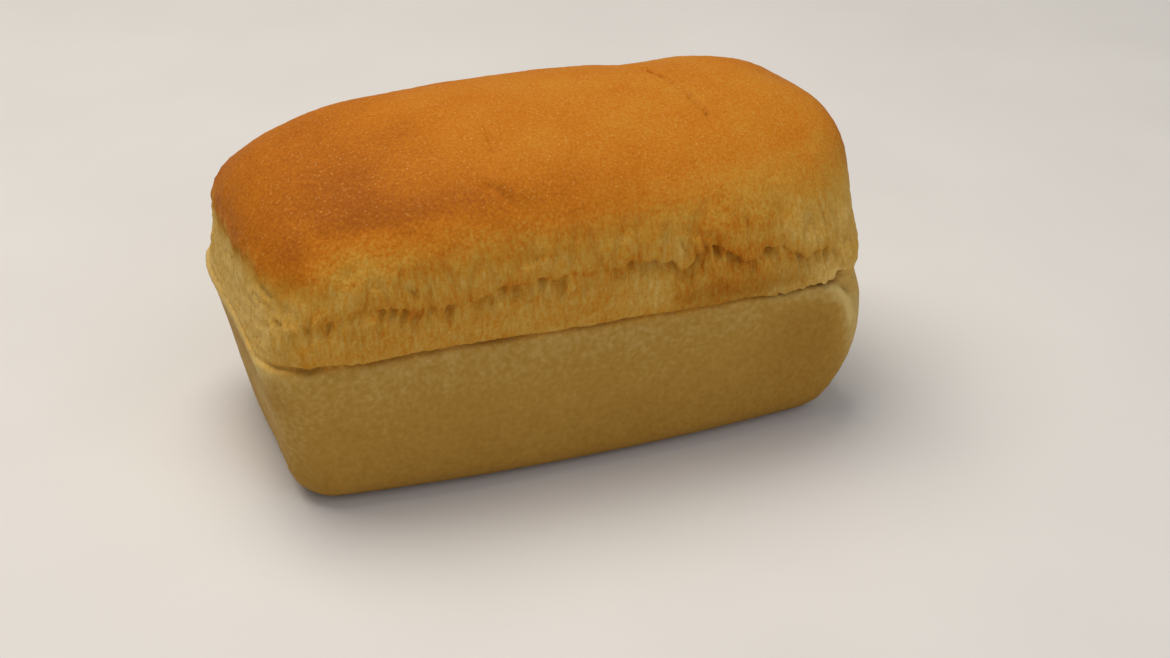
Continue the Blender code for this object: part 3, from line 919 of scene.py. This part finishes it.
def makeLoaf():
    bm = gridBox()
    shapePlainLoaf(bm)
    tones = bakeTones(*addRelief(bm))
    for name, values in tones.items():
        layer = bm.verts.layers.float.new(name)
        for vert, value in zip(bm.verts, values.tolist()):
            vert[layer] = value
    closeBase(bm)
    points = readPoints(bm)
    low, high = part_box("loaf")
    middle = (points.min(axis=0) + points.max(axis=0)) / 2
    shift = ((low.x + high.x) / 2 / mm - middle[0], (low.y + high.y) / 2 / mm - middle[1], 0)
    bmesh.ops.translate(bm, verts=bm.verts, vec=shift)
    bmesh.ops.scale(bm, verts=bm.verts, vec=(mm, mm, mm))
    bmesh.ops.recalc_face_normals(bm, faces=bm.faces)
    mesh = bpy.data.meshes.new("loafCrust")
    bm.to_mesh(mesh)
    bm.free()
    mesh.shade_smooth()
    mesh.materials.append(breadCrust())
    piece = bpy.data.objects.new("loafCrust", mesh)
    bpy.context.scene.collection.objects.link(piece)
    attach(piece, "root")
    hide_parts("loaf")
    print("loaf:", len(mesh.polygons), "faces, shift", [round(s, 3) for s in shift])
    return piece


floorLook = {
    "side": 6.0,
    "cells": 8,
    "colours": ((0.3, "#dcdad6"), (0.7, "#d8d6d2")),
    "clouds": 90.0,  # mm across, where the coat of paint is a little thicker
    "roughness": 0.7,
}


def makeFloor():
    # Pale painted board, rolled on matt, with a faint unevenness of its coat
    bm = bmesh.new()
    cells = floorLook["cells"]
    bmesh.ops.create_grid(bm, x_segments=cells, y_segments=cells, size=floorLook["side"] / 2)
    mesh = bpy.data.meshes.new("floor")
    bm.to_mesh(mesh)
    bm.free()
    material, tree = newMaterial("mattPaintedBoard")
    place = (addNode(tree, "ShaderNodeTexCoord"), "Object")
    size = floorLook["clouds"] * mm
    clouds = addNode(tree, "ShaderNodeTexNoise", {"Scale": 1 / size}, {"Vector": place})
    coat = addNode(tree, "ShaderNodeValToRGB", {"stops": floorLook["colours"]}, {"Fac": clouds})
    finish = {"Roughness": floorLook["roughness"]}
    shader = addNode(tree, "ShaderNodeBsdfPrincipled", finish, {"Base Color": coat})
    addNode(tree, "ShaderNodeOutputMaterial", links={"Surface": shader})
    mesh.materials.append(material)
    floor = bpy.data.objects.new("floor", mesh)
    bpy.context.scene.collection.objects.link(floor)
    print("floor: a board of", floorLook["side"], "m")


studioLights = {
    "aim": (0, 0, 0.06),
    "key": {"place": (-0.25, 0.25, 1.25), "size": 1.0, "watts": 15.0, "colour": "#fff6ea"},
    "fill": {"place": (0.3, -1.3, 0.9), "size": 1.3, "watts": 7.0, "colour": "#f3f5ff"},
    "world": {"colour": "#e9ebf0", "strength": 0.30},
}


def makeLights():
    for name in ("key", "fill"):
        look = studioLights[name]
        lamp = bpy.data.lights.new(name, "AREA")
        lamp.size = look["size"]
        lamp.energy = look["watts"]
        lamp.color = toLinear(look["colour"])[:3]
        light = bpy.data.objects.new(name, lamp)
        bpy.context.scene.collection.objects.link(light)
        light.location = look["place"]
        toward = Vector(studioLights["aim"]) - Vector(look["place"])
        light.rotation_euler = toward.to_track_quat("-Z", "Y").to_euler()
    world = bpy.data.worlds.new("studio")
    world.use_nodes = True
    sky = world.node_tree.nodes["Background"]
    sky.inputs["Color"].default_value = toLinear(studioLights["world"]["colour"])
    sky.inputs["Strength"].default_value = studioLights["world"]["strength"]
    bpy.context.scene.world = world
    print("lights: key, fill and an even sky")


cameraView = {
    "place": (-0.19815, -0.59305, 0.37372),
    "turn": (61.154, -0.110, -20.032),  # degrees
    "lens": 61.29,
    "sensor": 36.0,
}


def makeCamera():
    data = bpy.data.cameras.new("camera")
    data.sensor_width = cameraView["sensor"]
    data.lens = cameraView["lens"]
    camera = bpy.data.objects.new("camera", data)
    bpy.context.scene.collection.objects.link(camera)
    camera.location = cameraView["place"]
    camera.rotation_euler = [math.radians(a) for a in cameraView["turn"]]
    bpy.context.scene.camera = camera
    print("camera: lens", cameraView["lens"], "mm")


makeCamera()
makeLights()
makeFloor()
makeLoaf()
bpy.context.scene.view_settings.view_transform = "Standard"
